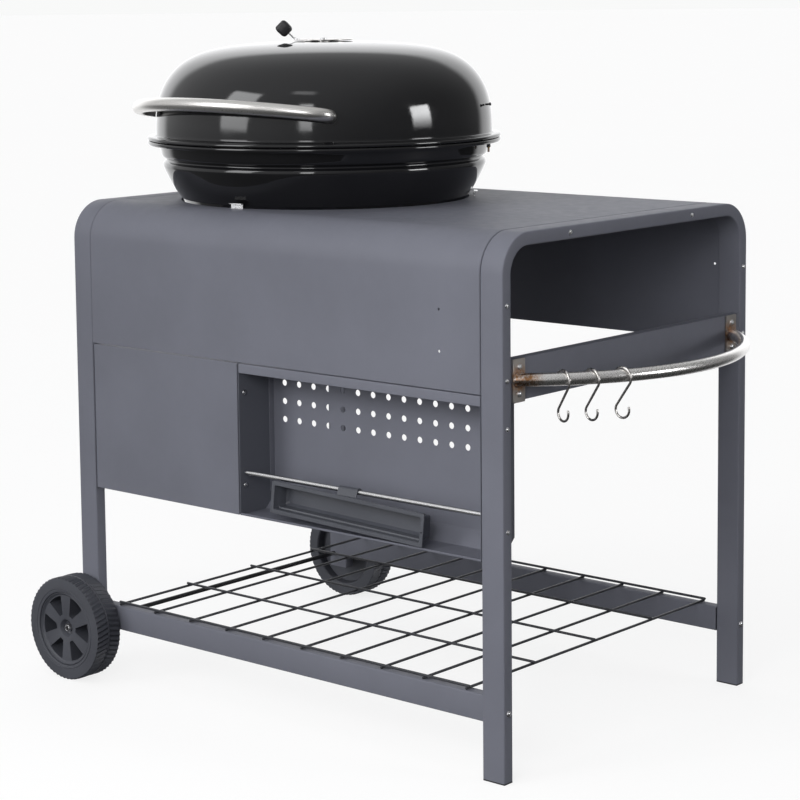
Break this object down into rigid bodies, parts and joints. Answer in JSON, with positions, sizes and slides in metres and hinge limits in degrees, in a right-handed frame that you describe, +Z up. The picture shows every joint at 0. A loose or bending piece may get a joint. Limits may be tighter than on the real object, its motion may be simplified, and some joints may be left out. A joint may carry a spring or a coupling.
{
  "type": "kettle charcoal grill on a trolley",
  "caption": "Kettle charcoal grill with a domed black lid in a grey sheet-steel trolley with a side table, a perforated utensil recess, a wire shelf, a bowed towel rail, hooks and wheels.",
  "frame": {"origin": "on the floor, under the middle of the bounding box", "axes": "+X points to the end with the towel rail, -Y to the front with the utensil recess, +Z up"},
  "size_m": [1.123, 0.741, 1.0914],
  "materials": {
    "slate_paint": "satin powder coat, blue-grey",
    "black_enamel": "gloss vitreous enamel",
    "stainless": "satin stainless steel",
    "bright_metal": "bright plated steel",
    "grey_plastic": "fine matt moulded plastic",
    "black_plastic": "matt moulded plastic",
    "black_metal": "satin black",
    "plated_wire": "plated steel wire",
    "aluminium_sheet": "plain rolled sheet"
  },
  "bodies": {
    "trolley": {"ash_pan_hanger_left": "aluminium_sheet", "ash_pan_hanger_right": "aluminium_sheet", "axle": "black_metal", "bowl": "black_enamel", "bowl_bracket_1": "bright_metal", "bowl_bracket_2": "bright_metal", "bowl_bracket_3": "bright_metal", "bowl_hinge_bracket": "black_metal", "bowl_vent_plate": "aluminium_sheet", "front_axle_nut": "bright_metal", "front_axle_washer": "bright_metal", "front_foot_plug": "black_plastic", "front_lower_rail": "slate_paint", "hinge_pin": "bright_metal", "hood_panel": "slate_paint", "left_end_frame": "slate_paint", "left_front_panel": "slate_paint", "rail_plate_front": "stainless", "rail_plate_rear": "stainless", "rear_axle_nut": "bright_metal", "rear_axle_washer": "bright_metal", "rear_foot_plug": "black_plastic", "rear_lower_rail": "slate_paint", "recess_left_screw_lower": "bright_metal", "recess_left_screw_upper": "bright_metal", "recess_left_wall": "slate_paint", "recess_right_screw_lower": "bright_metal", "recess_right_screw_upper": "bright_metal", "recess_right_wall": "slate_paint", "recess_shell": "slate_paint", "right_cross_panel": "slate_paint", "right_end_frame": "slate_paint", "rim_wing_nut": "black_metal", "towel_rail": "stainless", "wire_shelf": "slate_paint"},
    "front_wheel_body": {"front_wheel": "grey_plastic"},
    "rear_wheel_body": {"rear_wheel": "grey_plastic"},
    "lid_body": {"lid": "black_enamel", "lid_handle": "stainless", "lid_hinge_arm": "black_metal", "lid_peg": "black_plastic", "damper_rivet": "bright_metal"},
    "top_damper_body": {"top_damper": "bright_metal", "damper_knob": "black_plastic"},
    "ash_sweep_body": {"ash_sweep": "aluminium_sheet", "ash_sweep_lever": "aluminium_sheet"},
    "ash_pan_body": {"ash_pan": "aluminium_sheet"},
    "charcoal_grate_body": {"charcoal_grate": "plated_wire"},
    "cooking_grate_body": {"cooking_grate": "plated_wire"},
    "utensil_rod_body": {"utensil_rod": "stainless"},
    "utensil_tray_body": {"utensil_tray": "grey_plastic", "tray_clip": "grey_plastic"},
    "s_hook_1_body": {"s_hook_1": "stainless"},
    "s_hook_2_body": {"s_hook_2": "stainless"},
    "s_hook_3_body": {"s_hook_3": "stainless"}
  },
  "joints": [
    {"name": "front_wheel_spin", "type": "hinge", "parent": "trolley", "child": "front_wheel_body", "pos_m": [-0.47545, -0.34575, 0.086], "axis": [0, 1, 0], "continuous": true},
    {"name": "rear_wheel_spin", "type": "hinge", "parent": "trolley", "child": "rear_wheel_body", "pos_m": [-0.47545, 0.34575, 0.086], "axis": [0, 1, 0], "continuous": true},
    {"name": "lid_hinge", "type": "hinge", "parent": "trolley", "child": "lid_body", "pos_m": [-0.20595, 0.3, 0.906], "axis": [-1, 0, 0], "range_deg": [0, 85]},
    {"name": "top_damper_turn", "type": "hinge", "parent": "lid_body", "child": "top_damper_body", "pos_m": [-0.20595, -0.006, 1.0568], "axis": [0, 0, 1], "range_deg": [0, 45]},
    {"name": "ash_sweep_turn", "type": "hinge", "parent": "trolley", "child": "ash_sweep_body", "pos_m": [-0.20595, -0.006, 0.6935], "axis": [0, 0, 1], "range_deg": [-40, 40]},
    {"name": "ash_pan_pull", "type": "slide", "parent": "trolley", "child": "ash_pan_body", "axis": [0, -1, 0], "range_m": [0, 0.09]},
    {"name": "charcoal_grate_lift", "type": "slide", "parent": "trolley", "child": "charcoal_grate_body", "axis": [0, 0, 1], "range_m": [0, 0.08]},
    {"name": "cooking_grate_lift", "type": "slide", "parent": "trolley", "child": "cooking_grate_body", "axis": [0, 0, 1], "range_m": [0, 0.02]},
    {"name": "utensil_rod_turn", "type": "hinge", "parent": "trolley", "child": "utensil_rod_body", "pos_m": [0.11485, -0.308, 0.3895], "axis": [-1, 0, 0], "range_deg": [-2, 60]},
    {"name": "utensil_tray_slide", "type": "slide", "parent": "utensil_rod_body", "child": "utensil_tray_body", "axis": [1, 0, 0], "range_m": [-0.055, 0.09]},
    {"name": "s_hook_1_swing", "type": "hinge", "parent": "trolley", "child": "s_hook_1_body", "pos_m": [0.46379, -0.242, 0.587], "axis": [0.662, 0.7495, 0], "range_deg": [-25, 25]},
    {"name": "s_hook_2_swing", "type": "hinge", "parent": "trolley", "child": "s_hook_2_body", "pos_m": [0.4896, -0.209, 0.587], "axis": [0.5682, 0.8229, 0], "range_deg": [-25, 25]},
    {"name": "s_hook_3_swing", "type": "hinge", "parent": "trolley", "child": "s_hook_3_body", "pos_m": [0.51399, -0.168, 0.587], "axis": [0.4518, 0.8921, 0], "range_deg": [-25, 25]}
  ]
}
